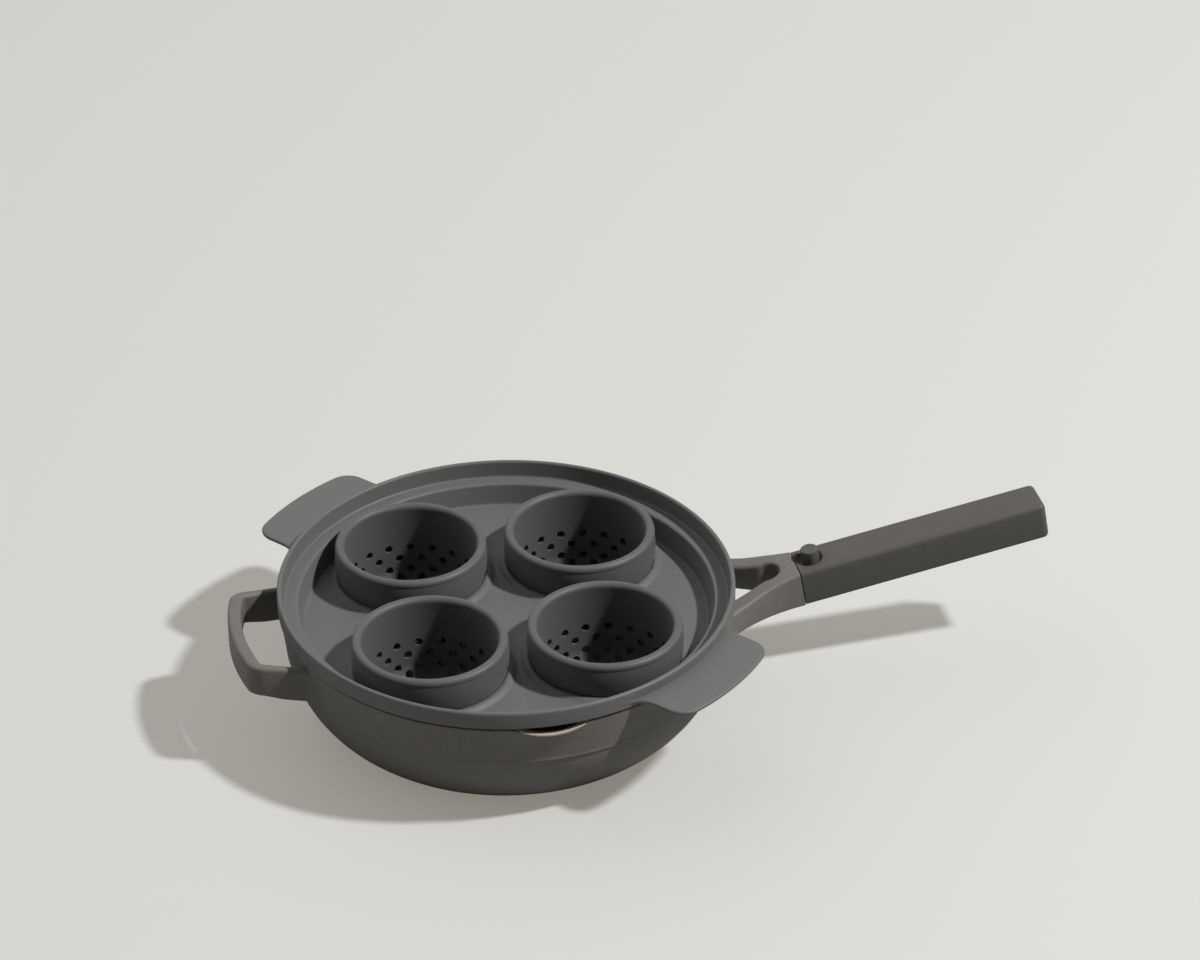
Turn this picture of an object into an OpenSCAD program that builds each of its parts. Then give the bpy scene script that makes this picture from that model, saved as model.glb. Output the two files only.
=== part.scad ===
// Cast pan with a long handle and a helper loop, and a drop-in tray that holds four egg cups.
// Origin: centre of the pan's base, on the table. +X runs along the long handle, +Z is up.

/* [Pan] */
// Outer radius of the rim
pan_rim_r = 133.3; // [110:0.1:160]
// Height of the rim above the table
pan_h = 68.5; // [55:0.5:90]
// Thickness of the cast wall
wall_t = 4; // [3:0.5:6]
// Thickness of the floor
floor_t = 4.5; // [3:0.5:7]
// Height of the line where the upper band of the wall starts
band_z = 43.3; // [30:0.5:50]
// How far the upper band stands out from the wall below it
band_step = 0.6; // [0:0.1:2]
// Radius of the big curve of the lower wall
belly_r = 57; // [45:0.5:70]
// Thickness the light inner coating is drawn with
lining_t = 0.5; // [0.3:0.1:1]
// How far the steel disc in the base reaches past the centre of the big curve
disc_out = 17.25; // [0:0.25:28]
// Thickness of the steel disc
disc_t = 1.5; // [1:0.1:3]

/* [Pouring lips] */
// Radius of the lip's outward bulge at the rim
lip_r = 52.5; // [40:0.5:60]
// How far the bulge stands out past the rim
lip_out = 3.2; // [1:0.1:8]
// Height of the bulge below the rim
lip_h = 16; // [8:0.5:25]
// How much narrower the bulge is at its foot
lip_taper = 5.5; // [3:0.1:8]
// Depth of the dip in the rim
lip_dip = 4.3; // [1:0.1:8]
// Radius of the curve of the dip
lip_dip_r = 60; // [40:1:90]

/* [Helper loop] */
// Distance from the pan's rim out to the outer bar's centre line
loop_out = 25.7; // [17:0.1:46]
// Radius of the outer bar's gentle curve
loop_bow_r = 125.6; // [90:0.1:300]
// Half the angle that curve spans
loop_bow_a = 15.2; // [10:0.1:20]
// Centre-line radius of the loop's corners
loop_corner_r = 7.6; // [6.5:0.1:12]
// Angle by which the arms spread towards the pan
loop_spread = 11.8; // [0:0.1:20]
// Rounding outside each arm where it meets the pan
loop_root_r = 14; // [6:0.5:20]
// Thickness of the loop seen from above
loop_t = 7.4; // [6:0.1:10]
// Depth of the loop from top to bottom
loop_depth = 20; // [14:0.1:25]
// Angle by which the loop rises outwards
loop_pitch = 6.3; // [0:0.1:12]
// How far below the pan's rim the loop's top leaves the wall
loop_drop = 1.7; // [0:0.1:13]
// Rounding of the loop's edges
loop_edge_r = 2.2; // [1:0.1:3.5]

/* [Long handle] */
// Distance from the pan's rim out to the joint line of the grip
seam_out = 41.7; // [30:0.1:66]
// How far below the pan's rim the handle's top lies at the joint line
seam_drop = 1.7; // [-10:0.1:18]
// Angle by which the handle rises
handle_pitch = 10.3; // [0:0.1:20]
// Length of the grip
grip_len = 153.2; // [110:0.5:190]
// Width of the grip
grip_w = 26.2; // [20:0.1:32]
// Depth of the grip
grip_depth = 23.7; // [18:0.1:28]
// Rounding of the grip's long edges
grip_edge_r = 2.2; // [1:0.1:6]
// Rounding of the grip's far end
grip_end_r = 3.2; // [1:0.1:6]
// Radius of the curve along the outside of each yoke arm
yoke_r = 110.4; // [90:0.1:130]
// Thickness of a yoke arm seen from above
yoke_arm_t = 10.6; // [7:0.1:12]
// Radius of the rounded end of the yoke's opening
yoke_end_r = 7.9; // [6:0.1:9]
// Distance of that end's centre from the joint line
yoke_end_x = 18.2; // [15:0.1:30]
// Angle between the yoke's top and underside
yoke_wedge = 9.8; // [0:0.1:12]
// Chamfer along the outside of the yoke's top
yoke_chamfer = 2.5; // [1.5:0.1:3]
// Depth of the shallow dip along the yoke's top
yoke_dip = 1.3; // [0.5:0.1:1.4]
// Width of the tang in the grip
tang_w = 14; // [8:0.5:18]
// Depth of the tang
tang_depth = 10; // [6:0.5:14]
// Length of the tang past the joint line
tang_len = 110; // [60:1:140]
// Depth of the tang's socket in the yoke
socket_depth = 6; // [3:0.5:8]

/* [Spoon peg] */
// Radius of the peg
peg_r = 5.3; // [4:0.1:7]
// Height of the peg above the grip
peg_h = 6.2; // [3:0.1:12]
// How far the peg stands behind the middle of its dish
peg_shift = 0.9; // [0:0.1:2]
// Width of the dish around the peg
dish_gap = 3; // [1:0.1:4]
// Depth of the dish
dish_depth = 3.2; // [1:0.1:4]
// Distance from the grip's near end to the dish
dish_edge = 0.7; // [0.3:0.1:10]

/* [Poaching tray] */
// Height of the tray's rim above the pan's rim
tray_rise = 11.5; // [8:0.1:16]
// How far the tray's rim reaches out past the pan's rim
tray_over = 1; // [0.5:0.1:6]
// Thickness of the tray's rim
tray_rim_t = 3; // [2:0.1:4]
// Height of the ledge inside the tray's rim above the pan's rim
ledge_rise = 1.1; // [0.8:0.1:3]
// Distance from the pan's rim in to the sunken well
well_inset = 11.5; // [10.3:0.1:20]
// How much narrower the well is at its floor
well_draft = 2.6; // [0.5:0.1:4]
// Depth of the well's floor below the rim
well_depth = 24; // [18:0.5:30]
// Thickness of the well's wall
well_t = 2.8; // [2:0.1:4]
// Thickness of the well's floor
well_floor_t = 3; // [2:0.1:4]
// How far the two lifting tabs reach past the tray's rim
tab_len = 29.3; // [15:0.1:45]
// Width of a tab
tab_w = 85; // [60:1:100]
// Thickness of a tab
tab_t = 2.5; // [1.5:0.1:4]
// Height of a tab's underside above the pan's rim
tab_rise = 3; // [1:0.1:6]
// Rounding of a tab's free corners
tab_corner_r = 13; // [5:0.5:20]
// Rounding where a tab meets the rim
tab_root_r = 14; // [4:0.5:18]

/* [Egg cups] */
// Distance from a cup's seat to the foot of the well's wall
cup_edge = 2.7; // [1:0.1:3.8]
// Angle of the first cup's axis from the long handle
cup_a = 40.98; // [0:0.01:90]
// Bore radius of a cup
cup_bore_r = 38.7; // [34:0.1:40]
// Thickness of a cup's lower wall
cup_t = 2.8; // [2:0.1:3]
// Radius of the rolled lip
cup_lip_r = 2.9; // [2:0.1:3.5]
// How far a cup's lip lies below the tray's rim
cup_sink = 0.6; // [0:0.1:6]
// Depth of a cup from lip to the inside of its bottom
cup_depth = 56; // [40:0.5:58]
// Inner rounding between a cup's wall and bottom
cup_corner_r = 12.5; // [8:0.5:18]
// Radius of a drain hole
hole_r = 2.5; // [1:0.1:3]
// Number of drain holes in each row
holes_per_row = 18; // [12:1:20]
// Gap between a cup and the edge of its opening
cup_gap = 0.4; // [0.3:0.1:1]

/* [Hidden] */
$fn = 96;

cast_colour = [0.40, 0.38, 0.36];
coat_colour = [0.72, 0.66, 0.58];
silicone_colour = [0.36, 0.37, 0.37];
steel_colour = [0.70, 0.70, 0.71];
quarter = 90;
half = 180;
full = 360;
cut = 1;
far = 400;

belly_inset = 60.55;
belly_x = pan_rim_r - belly_inset;
belly_z = 48.7;
disc_r = belly_x + disc_out;

lip_c = pan_rim_r + lip_out - lip_r;
lip_inboard = 100;

loop_x = pan_rim_r + loop_out;
loop_top_z = pan_h - loop_drop;
loop_hinge_out = 6.7;
loop_hinge_x = pan_rim_r + loop_hinge_out;
loop_reach = 30;
loop_c = loop_bow_r - loop_x;
loop_corner_x = loop_c - (loop_bow_r - loop_corner_r) * cos(loop_bow_a);
loop_corner_y = -(loop_bow_r - loop_corner_r) * sin(loop_bow_a);
splice = 0.5;
splice_inset = 0.05;
splice_a = splice / loop_bow_r * half / PI;
root_bite = 0.1;
root_inset = 4.4;
root_wall_r = pan_rim_r - root_inset;
root_trim = 0.6;

seam_x = pan_rim_r + seam_out;
seam_z = pan_h - seam_drop;
joint_gap = 0.3;
yoke_cx = 19.68;
yoke_inset = 1.76;
yoke_cy = yoke_r + grip_w / 2 - yoke_inset;
yoke_len = 58;
yoke_dip_x = 33;
yoke_dip_r = 163;
yoke_flare = 52;

tang_w0 = -(grip_depth + tang_depth) / 2;
stud_r = 2.5;
stud_clear = 2.8;
stud_len = 10;
peg_edge_r = 0.8;
dish_foot = 0.7;
dish_r = peg_r + dish_gap;
dish_floor_r = peg_r + dish_foot;
dish_x = joint_gap + dish_edge + dish_r;
peg_x = dish_x + peg_shift;
peg_y = 1.5;

screw_x = 95;
screw_r = 2;
screw_head_r = 4.6;
screw_head_h = 2.6;
screw_len = 12.5;
screw_key_r = 1.6;
screw_key_depth = 1.6;
screw_clear = 2.3;

tray_r = pan_rim_r + tray_over;
well_r = pan_rim_r - well_inset;
tab_reach = tray_r + tab_len;
tray_top = pan_h + tray_rise;
well_z = tray_top - well_depth;
well_under = well_z - well_floor_t;
ledge_top = pan_h + ledge_rise;
ledge_edge_r = 2;
ledge_z = ledge_top - ledge_edge_r;
step_clear = 0.6;
step_r = pan_rim_r - wall_t - lining_t - step_clear;
step_drop = 2;
rim_draft = 1;
rim_fillet = 1.5;
well_fillet = 2.5;
well_foot = well_r - well_draft;
draft_a = atan(well_draft / (ledge_z - well_z));

lip_z = tray_top - cup_sink - cup_lip_r;
lip_step = 0.6;
cup_lip_c = cup_bore_r + lip_step + cup_lip_r;
cup_out_r = cup_bore_r + cup_t;
cup_floor = lip_z + cup_lip_r - cup_depth;
corner_x = cup_bore_r - cup_corner_r;
corner_z = cup_floor + cup_corner_r;
seat_drop = 1;
seat_z = well_z - seat_drop;
barrel_r = 42;
barrel_inset = 38;
barrel_drop = 8;
barrel_x = cup_out_r - barrel_inset;
barrel_z = lip_z - barrel_drop;
collar_r = 1.9;
collar_out = 4.6;
recess_out = 3.1;
collar_x = cup_out_r + collar_out;
recess_r = cup_out_r + recess_out;
cup_d = well_foot - recess_r - cup_edge;
row_drop = 2.9;
top_row = well_under - row_drop;
row_sink = 1.2;
row_pitch = (top_row - corner_z + row_sink) / 2;
bend_angles = [30, 68];
tab_angles = [130.1, 311];
ring_edge = 5.2;
ring_shift = 0.5;
ring_r = corner_x - ring_edge;
bottom_rings = [[ring_r, 12], [ring_r / 2 + ring_shift, 6]];

// Everything inside the pan's outer surface, set in by t
module pan_bulk(t, bottom) {
  step = t == 0 ? band_step : 0;
  belly_end = belly_x + sqrt((belly_r - t) * (belly_r - t) - (belly_z - band_z) * (belly_z - band_z));
  rotate_extrude() {
    intersection() {
      translate([belly_x, belly_z]) circle(r = belly_r - t);
      translate([0, bottom]) square([far, band_z - bottom]);
    }
    translate([0, bottom]) square([belly_x, band_z - bottom]);
    polygon([[0, band_z], [belly_end + step, band_z], [pan_rim_r - t, pan_h], [pan_rim_r - t, pan_h + t],
             [0, pan_h + t]]);
  }
}

// The two bulges of the pouring lips, set in by t
module lip_bulges(t) {
  for (s = [-1, 1])
    translate([0, s * lip_c, pan_h - lip_h])
      cylinder(h = lip_h, r1 = lip_r - lip_taper - t, r2 = lip_r - t);
}

// The dips in the rim over the pouring lips, with their curve larger by extra
module lip_dips(extra) {
  for (s = [0, half])
    rotate([0, 0, s])
      translate([0, lip_inboard, pan_h + lip_dip_r - lip_dip])
        rotate([-quarter, 0, 0]) cylinder(h = far, r = lip_dip_r + extra);
}

module above(z) {
  translate([-far / 2, -far / 2, z]) cube([far, far, far]);
}

module pan_shell() {
  difference() {
    union() {
      pan_bulk(0, 0);
      lip_bulges(0);
    }
    pan_bulk(wall_t, floor_t);
    lip_bulges(wall_t);
    lip_dips(lining_t);
    above(pan_h - lining_t);
  }
}

module pan_body() {
  color(cast_colour)
    difference() {
      pan_shell();
      translate([0, 0, -cut]) cylinder(h = disc_t + cut, r = disc_r);
    }
}

module pan_lining() {
  color(coat_colour)
    difference() {
      union() {
        pan_bulk(lining_t, floor_t);
        lip_bulges(lining_t);
      }
      pan_shell();
      pan_bulk(wall_t + lining_t, floor_t + lining_t);
      lip_bulges(wall_t + lining_t);
      lip_dips(0);
      above(pan_h);
    }
}

module base_disc() {
  color(steel_colour) cylinder(h = disc_t, r = disc_r);
}

// Rectangle w by h with rounded corners, its middle at the origin
module rounded(w, h, r) {
  square([w - 2 * r, h], center = true);
  square([w, h - 2 * r], center = true);
  for (x = [-1, 1])
    for (y = [-1, 1])
      translate([x * (w / 2 - r), y * (h / 2 - r)]) circle(r = r);
}

// A wedge as tall as the loop, between two angles measured from -X
module wedge(a, b) {
  translate([0, 0, -loop_depth])
    linear_extrude(2 * loop_depth)
      polygon([[0, 0], [-far * cos(a), -far * sin(a)], [-far * (cos(a) + cos(b)), -far * (sin(a) + sin(b))],
               [-far * cos(b), -far * sin(b)]]);
}

// One arm of the helper loop with its corner, seen from the corner's centre
module loop_arm() {
  intersection() {
    rotate_extrude() translate([loop_corner_r, 0]) rounded(loop_t, loop_depth, loop_edge_r);
    wedge(loop_bow_a, quarter - loop_spread);
  }
  rotate([0, 0, -loop_spread]) {
    translate([-splice, -loop_corner_r, 0])
      rotate([quarter, 0, quarter]) linear_extrude(loop_reach) bar_section();
    translate([0, 0, -(loop_depth - loop_edge_r) / 2]) linear_extrude(loop_depth - loop_edge_r) loop_root();
  }
}

// The loop's section, a hair smaller than at its corners so that the pieces overlap cleanly
module bar_section() {
  rounded(loop_t - 2 * splice_inset, loop_depth - 2 * splice_inset, loop_edge_r);
}

// Rounded root outside an arm, in the arm's own directions
module loop_root() {
  side_y = -loop_corner_r - loop_t / 2 + splice_inset;
  pan_x = -loop_corner_x * cos(loop_spread) + loop_corner_y * sin(loop_spread);
  pan_y = -loop_corner_x * sin(loop_spread) - loop_corner_y * cos(loop_spread);
  round_y = side_y - loop_root_r + root_bite;
  span = root_wall_r + loop_root_r;
  round_x = pan_x - sqrt(span * span - (pan_y - round_y) * (pan_y - round_y));
  touch = loop_root_r / span;
  difference() {
    polygon([[round_x, side_y + loop_t / 2], [round_x, side_y],
             [round_x + (pan_x - round_x) * touch, round_y + (pan_y - round_y) * touch],
             [loop_reach, side_y], [loop_reach, side_y + loop_t / 2]]);
    translate([round_x, round_y]) circle(r = loop_root_r);
    translate([pan_x, pan_y]) circle(r = root_wall_r + root_trim);
  }
}

// Places the loop's pieces: plan as seen from the pan's axis, z from the middle of its depth
module on_loop() {
  translate([-loop_hinge_x, 0, loop_top_z])
    rotate([0, loop_pitch, 0]) translate([loop_hinge_x, 0, -loop_depth / 2]) children();
}

module helper_handle() {
  color(cast_colour)
    difference() {
      on_loop() {
        translate([loop_c, 0, 0])
          intersection() {
            rotate_extrude() translate([loop_bow_r, 0]) bar_section();
            wedge(-loop_bow_a - splice_a, loop_bow_a + splice_a);
          }
        translate([loop_corner_x, loop_corner_y, 0]) loop_arm();
        mirror([0, 1, 0]) translate([loop_corner_x, loop_corner_y, 0]) loop_arm();
      }
      pan_bulk(0, 0);
    }
}

// Places the handle's pieces: x along the handle from the joint line, z down from its top
module on_handle() {
  translate([seam_x, 0, seam_z]) rotate([0, -handle_pitch, 0]) children();
}

// The yoke seen from above
module yoke_plan() {
  difference() {
    polygon([[0, -grip_w / 2], [-yoke_len, -yoke_flare], [-yoke_len, yoke_flare], [0, grip_w / 2]]);
    for (s = [-1, 1])
      translate([yoke_cx, s * yoke_cy]) circle(r = yoke_r);
    difference() {
      translate([-far - yoke_end_x, -far / 2]) square([far, far]);
      for (s = [-1, 1])
        translate([yoke_cx, s * yoke_cy]) circle(r = yoke_r + yoke_arm_t);
    }
    translate([-yoke_end_x, 0]) circle(r = yoke_end_r);
  }
}

// What the chamfer takes off, beside the axis of an arm's curve
module yoke_bevel() {
  polygon([[yoke_r - cut, -yoke_chamfer - cut], [yoke_r + yoke_chamfer + cut, cut], [yoke_r - cut, cut]]);
}

module tang_bar(length, gap) {
  translate([0, -tang_w / 2 - gap, tang_w0 - gap])
    cube([length, tang_w + 2 * gap, tang_depth + 2 * gap]);
}

module handle_yoke() {
  color(cast_colour)
    difference() {
      on_handle()
        difference() {
          translate([0, 0, -grip_depth]) linear_extrude(grip_depth) yoke_plan();
          translate([0, -far / 2, -grip_depth])
            rotate([0, yoke_wedge, 0]) translate([-far, 0, -far]) cube([far, far, far]);
          for (s = [-1, 1])
            translate([yoke_cx, s * yoke_cy, 0]) rotate_extrude() yoke_bevel();
          translate([-yoke_dip_x, far / 2, yoke_dip_r - yoke_dip])
            rotate([quarter, 0, 0]) cylinder(h = far, r = yoke_dip_r);
          translate([-socket_depth, 0, 0]) tang_bar(far, 0);
        }
      pan_bulk(0, 0);
    }
}

module handle_tang() {
  color(steel_colour)
    on_handle()
      difference() {
        translate([-socket_depth, 0, 0]) tang_bar(socket_depth + tang_len, 0);
        translate([peg_x, peg_y, -dish_depth - stud_len]) cylinder(h = stud_len, r = stud_r);
        translate([screw_x, 0, -grip_depth]) cylinder(h = screw_len, r = screw_r);
      }
}

// A block with the grip's long edges and far end rounded
module grip_block() {
  intersection() {
    translate([joint_gap, 0, -grip_depth / 2])
      rotate([quarter, 0, quarter]) linear_extrude(grip_len) rounded(grip_w, grip_depth, grip_edge_r);
    translate([0, 0, -grip_depth]) linear_extrude(grip_depth) grip_side(grip_w);
    translate([0, grip_w / 2, -grip_depth / 2])
      rotate([quarter, 0, 0]) linear_extrude(grip_w) grip_side(grip_depth);
  }
}

// The grip's outline, rounded at the far end only
module grip_side(across) {
  translate([joint_gap, -across / 2]) square([grip_len / 2, across]);
  translate([joint_gap + grip_len / 2, 0]) rounded(grip_len, across, grip_end_r);
}

module handle_grip() {
  color(cast_colour)
    on_handle()
      difference() {
        grip_block();
        tang_bar(tang_len + joint_gap, joint_gap / 2);
        translate([dish_x, peg_y, -dish_depth]) cylinder(h = dish_depth, r1 = dish_floor_r, r2 = dish_r);
        translate([peg_x, peg_y, -dish_depth]) cylinder(h = dish_depth, r = peg_r);
        translate([peg_x, peg_y, -grip_depth / 2]) cylinder(h = grip_depth / 2, r = stud_clear);
        translate([screw_x, 0, -grip_depth]) cylinder(h = screw_head_h, r1 = screw_head_r, r2 = screw_r);
        translate([screw_x, 0, -grip_depth]) cylinder(h = grip_depth / 2, r = screw_clear);
      }
}

module spoon_peg() {
  color(cast_colour)
    on_handle()
      translate([peg_x, peg_y, -dish_depth]) {
        rotate_extrude() {
          square([peg_r - peg_edge_r, dish_depth + peg_h]);
          square([peg_r, dish_depth + peg_h - peg_edge_r]);
          translate([peg_r - peg_edge_r, dish_depth + peg_h - peg_edge_r]) circle(r = peg_edge_r);
        }
        translate([0, 0, -stud_len]) cylinder(h = stud_len + cut, r = stud_r);
      }
}

module grip_screw() {
  color(steel_colour)
    on_handle()
      translate([screw_x, 0, -grip_depth])
        difference() {
          union() {
            cylinder(h = screw_head_h, r1 = screw_head_r, r2 = screw_r);
            cylinder(h = screw_len, r = screw_r);
          }
          translate([0, 0, -cut]) cylinder(h = screw_key_depth + cut, r = screw_key_r, $fn = 6);
        }
}

// Half section of the tray, without collars and tabs
module tray_section() {
  inner = tray_r - tray_rim_t;
  foot = inner - rim_draft;
  edge_x = well_r + ledge_edge_r;
  bead_z = tray_top - tray_rim_t / 2;
  polygon([[foot, pan_h], [tray_r, pan_h], [tray_r, bead_z], [inner, bead_z], [foot, ledge_top]]);
  translate([tray_r - tray_rim_t / 2, bead_z]) circle(r = tray_rim_t / 2);
  translate([edge_x, pan_h]) square([tray_r - edge_x, ledge_rise]);
  translate([edge_x, pan_h - step_drop]) square([step_r - edge_x, step_drop + ledge_rise]);
  translate([edge_x, ledge_z]) circle(r = ledge_edge_r);
  polygon([[well_r, ledge_z], [well_foot, well_z], [well_foot, well_under], [well_foot + well_t, well_under],
           [edge_x, ledge_z]]);
  translate([0, well_under]) square([well_foot + well_t, well_floor_t]);
  foot_fillet(foot, ledge_top, atan(rim_draft / (bead_z - ledge_top)), rim_fillet);
  foot_fillet(well_foot, well_z, draft_a, well_fillet);
}

// Rounding of radius r where a wall that leans out by angle a stands on a floor at [x, z]
module foot_fillet(x, z, a, r) {
  up = r * (1 - sin(a)) / cos(a);
  start = x + up * sin(a) - r * cos(a);
  top = [x + up * sin(a), z + up * cos(a)];
  difference() {
    polygon([[start, z], [start, z - cut], [x + cut, z - cut], [top[0] + cut, top[1]], top]);
    translate([start, z + r]) circle(r = r);
  }
}

// One tab seen from above, pointing along +X
module tab_plan() {
  half_w = tab_w / 2;
  corner_y = half_w - tab_corner_r;
  corner_c = sqrt((tab_reach - tab_corner_r) * (tab_reach - tab_corner_r) - corner_y * corner_y);
  root_y = half_w + tab_root_r;
  root_c = sqrt((tray_r + tab_root_r) * (tray_r + tab_root_r) - root_y * root_y);
  touch = tray_r / (tray_r + tab_root_r);
  difference() {
    union() {
      translate([0, -half_w]) square([corner_c, tab_w]);
      intersection() {
        circle(r = tab_reach);
        polygon([[0, 0], [2 * corner_c, -2 * corner_y], [2 * corner_c, 2 * corner_y]]);
      }
      for (s = [-1, 1]) {
        translate([corner_c, s * corner_y]) circle(r = tab_corner_r);
        difference() {
          polygon([[0, 0], [root_c, s * half_w], [root_c * touch, s * root_y * touch]]);
          translate([root_c, s * root_y]) circle(r = tab_root_r);
        }
      }
    }
    circle(r = tray_r - tray_rim_t / 2);
  }
}

// Copies of a cup feature at the four cup places
module at_cups() {
  for (i = [0 : 3])
    rotate([0, 0, cup_a + i * quarter]) translate([cup_d, 0, 0]) children();
}

module poacher_tray() {
  color(silicone_colour)
    difference() {
      union() {
        rotate_extrude() tray_section();
        for (a = tab_angles)
          rotate([0, 0, a]) translate([0, 0, pan_h + tab_rise]) linear_extrude(tab_t) tab_plan();
        at_cups()
          rotate_extrude() translate([collar_x, well_z]) circle(r = collar_r);
      }
      at_cups() {
        translate([0, 0, seat_z]) cylinder(h = far, r = recess_r);
        translate([0, 0, well_under - cut]) cylinder(h = far, r = cup_out_r + cup_gap);
      }
    }
}

// Half section of a cup
module cup_section() {
  difference() {
    union() {
      intersection() {
        translate([barrel_x, barrel_z]) circle(r = barrel_r);
        translate([0, seat_z]) square([far, lip_z - seat_z]);
      }
      translate([0, corner_z]) square([cup_out_r, seat_z - corner_z]);
      cup_bowl(cup_t);
    }
    polygon([[0, corner_z], [cup_bore_r, corner_z], [cup_lip_c - cup_lip_r, lip_z], [0, lip_z]]);
    cup_bowl(0);
  }
  translate([cup_lip_c, lip_z]) circle(r = cup_lip_r);
}

// The rounded bottom of a cup, grown by t
module cup_bowl(t) {
  intersection() {
    translate([corner_x, corner_z]) circle(r = cup_corner_r + t);
    translate([corner_x, corner_z - cup_corner_r - t]) square([far, cup_corner_r + t]);
  }
  translate([0, cup_floor - t]) square([corner_x, cup_corner_r + t]);
}

// Three straight rows of drain holes, two on the bend and rings in the bottom
module cup_holes() {
  turn = full / holes_per_row;
  for (row = [0 : 2])
    for (i = [0 : holes_per_row - 1])
      rotate([0, 0, (i + row / 2) * turn])
        translate([corner_x, 0, top_row - row * row_pitch])
          rotate([0, quarter, 0]) cylinder(h = cup_out_r, r = hole_r);
  for (row = [0 : 1])
    for (i = [0 : holes_per_row - 1])
      rotate([0, 0, (i + (row + 1) / 2) * turn])
        translate([corner_x, 0, corner_z])
          rotate([0, quarter + bend_angles[row], 0]) cylinder(h = cup_out_r, r = hole_r);
  for (ring = bottom_rings)
    for (i = [0 : ring[1] - 1])
      rotate([0, 0, i * full / ring[1]])
        translate([ring[0], 0, cup_floor - cup_t - cut]) cylinder(h = cup_t + 2 * cut, r = hole_r);
  translate([0, 0, cup_floor - cup_t - cut]) cylinder(h = cup_t + 2 * cut, r = hole_r);
}

// Cup number i, with its hole pattern turned as it sits
module cup(i, turned) {
  color(silicone_colour)
    rotate([0, 0, cup_a + i * quarter])
      translate([cup_d, 0, 0])
        rotate([0, 0, turned])
          difference() {
            rotate_extrude() cup_section();
            cup_holes();
          }
}

module egg_cup_1() {
  cup(0, 13.9);
}

module egg_cup_2() {
  cup(1, 9.9);
}

module egg_cup_3() {
  cup(2, 9.3);
}

module egg_cup_4() {
  cup(3, 3.6);
}

pan_body();
pan_lining();
base_disc();
helper_handle();
handle_yoke();
handle_tang();
handle_grip();
spoon_peg();
grip_screw();
poacher_tray();
egg_cup_1();
egg_cup_2();
egg_cup_3();
egg_cup_4();
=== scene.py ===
from math import cos, hypot, pi, radians, sin, sqrt, tan

import bmesh
import bpy
from mathutils import Matrix, Vector
from mathutils.geometry import delaunay_2d_cdt


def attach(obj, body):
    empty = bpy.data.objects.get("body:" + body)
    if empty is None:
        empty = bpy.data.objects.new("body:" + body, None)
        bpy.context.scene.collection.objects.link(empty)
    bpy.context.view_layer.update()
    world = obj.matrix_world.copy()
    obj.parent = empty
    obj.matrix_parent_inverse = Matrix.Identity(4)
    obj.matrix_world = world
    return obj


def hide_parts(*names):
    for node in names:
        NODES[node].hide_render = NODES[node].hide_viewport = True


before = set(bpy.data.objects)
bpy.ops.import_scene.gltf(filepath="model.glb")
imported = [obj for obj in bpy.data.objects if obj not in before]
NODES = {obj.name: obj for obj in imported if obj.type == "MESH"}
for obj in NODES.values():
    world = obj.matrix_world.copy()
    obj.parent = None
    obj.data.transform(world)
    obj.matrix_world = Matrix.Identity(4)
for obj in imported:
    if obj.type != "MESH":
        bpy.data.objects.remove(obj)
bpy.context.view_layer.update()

# Camera at the photograph's angle: place and axes in the object's frame
CAMERA_PLACE = (-0.35760980, -1.85924981, 1.34478974)
CAMERA_RIGHT = (0.97602042, -0.21766982, -0.0019959)
CAMERA_UP = (0.11788976, 0.52085928, 0.84546296)
CAMERA_BACK = (-0.18299219, -0.82542441, 0.53403034)
CAMERA_LENS = 116.5155
CAMERA_SHIFT = 0.0025

# Light
KEY_PLACE = (3.28, -1.22, 4.29)
KEY_AIM = (0.0, 0.0, 0.05)
KEY_SIZE = 0.40
KEY_WATTS = 320.0
KEY_COLOUR = (1.0, 0.99, 0.97)
SKY_COLOUR = (1.0, 0.985, 0.965)
SKY_AIM = (-0.472, 0.755, 0.455)
SKY_STRENGTH = 0.95
SKY_BASE = 0.095
BACKDROP_COLOUR = (0.78, 0.77, 0.74)

FLOOR_HALF = 6.0
FLOOR_COLOUR = (0.388, 0.409, 0.412)
FLOOR_LIFT = (0.237, 0.217, 0.190)
FLOOR_BOUNCE = 0.38

# Colours, linear
CAST_COLOUR = (0.148, 0.138, 0.124)
LINING_COLOUR = (0.46, 0.395, 0.305)
TRAY_COLOUR = (0.119, 0.120, 0.120)
# The cups' silicone is the tray's silicone made darker: painted shade for the cups' insides and walls
CUP_SHADED_COLOUR = (0.094, 0.095, 0.096)
GRIP_COLOUR = (0.090, 0.085, 0.078)
STEEL_COLOUR = (0.62, 0.61, 0.60)

# Sizes in millimetres and angles in degrees, as in the CAD where it has them
MM = 0.001
HAIR = 0.001
PAN_R = 133.3
PAN_H = 68.5
WALL = 4.0
LINING = 0.5
FLOOR = 4.5
BELLY_X = 72.75
BELLY_Z = 48.7
BELLY_R = 57.0
BAND_Z = 43.3
BAND_STEP = 0.6
BAND_BEAD = ((0.05, 0.0), (0.2, 0.18), (0.45, 0.26), (0.75, 0.18), (1.3, 0.0))
DISC_R = 90.0
DISC_T = 1.5
LIP_R = 52.5
LIP_OUT = 3.2
LIP_H = 16.0
LIP_TAPER = 5.5
LIP_DIP = 4.3
LIP_DIP_R = 60.0
LIP_BLEND = 1.6
DIP_BLEND = 0.6
RIM_EDGE = 0.9
RIM_INSET = 1.0
INNER_EDGE = 1.0
INNER_DROP = 1.5
SPOUT_EDGE = 0.4
SPOUT_FALL = 0.5
SPOUT_TURN = 1.8
SPOUT_START = 1.5

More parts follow.
